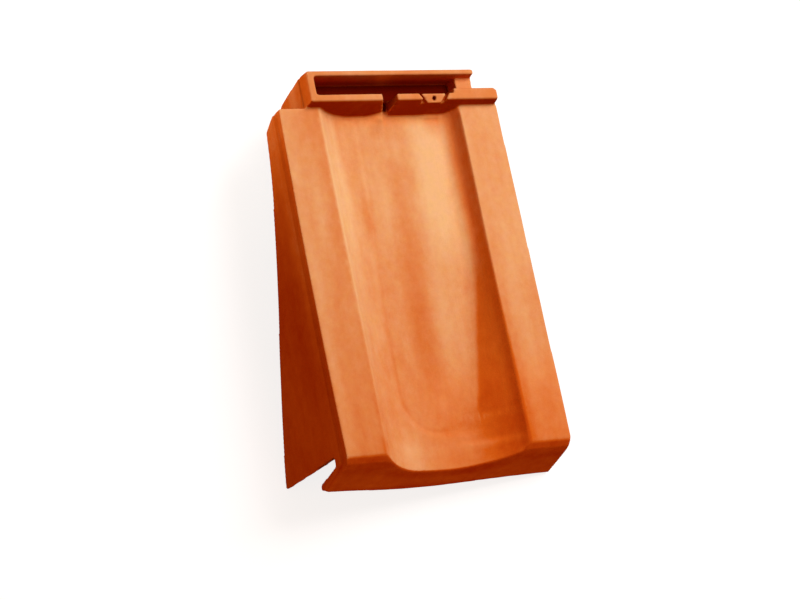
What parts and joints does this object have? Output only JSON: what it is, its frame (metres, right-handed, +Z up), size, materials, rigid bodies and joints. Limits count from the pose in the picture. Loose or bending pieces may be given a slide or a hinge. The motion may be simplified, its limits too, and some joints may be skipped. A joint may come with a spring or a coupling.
{
  "type": "clay verge roof tile",
  "caption": "Fired clay left-hand verge tile: trough-shaped face, nose apron, deep tapering side flap, head ribs with channel, hollow cover rib and batten nibs.",
  "frame": {"origin": "on the floor under the middle of the tile's bounding box, the tile lying unheld on a level floor", "axes": "+Y towards the head of the tile (up the roof slope), +X from the verge towards the neighbouring tile, +Z up; the weathered face looks up and leans towards +X because the deep side flap props up the verge side"},
  "size_m": [0.293, 0.429, 0.1209],
  "materials": {
    "fired_clay": "matt natural red-orange fired clay, unglazed"
  },
  "bodies": {
    "root": {"verge_tile": "fired_clay"}
  },
  "joints": []
}
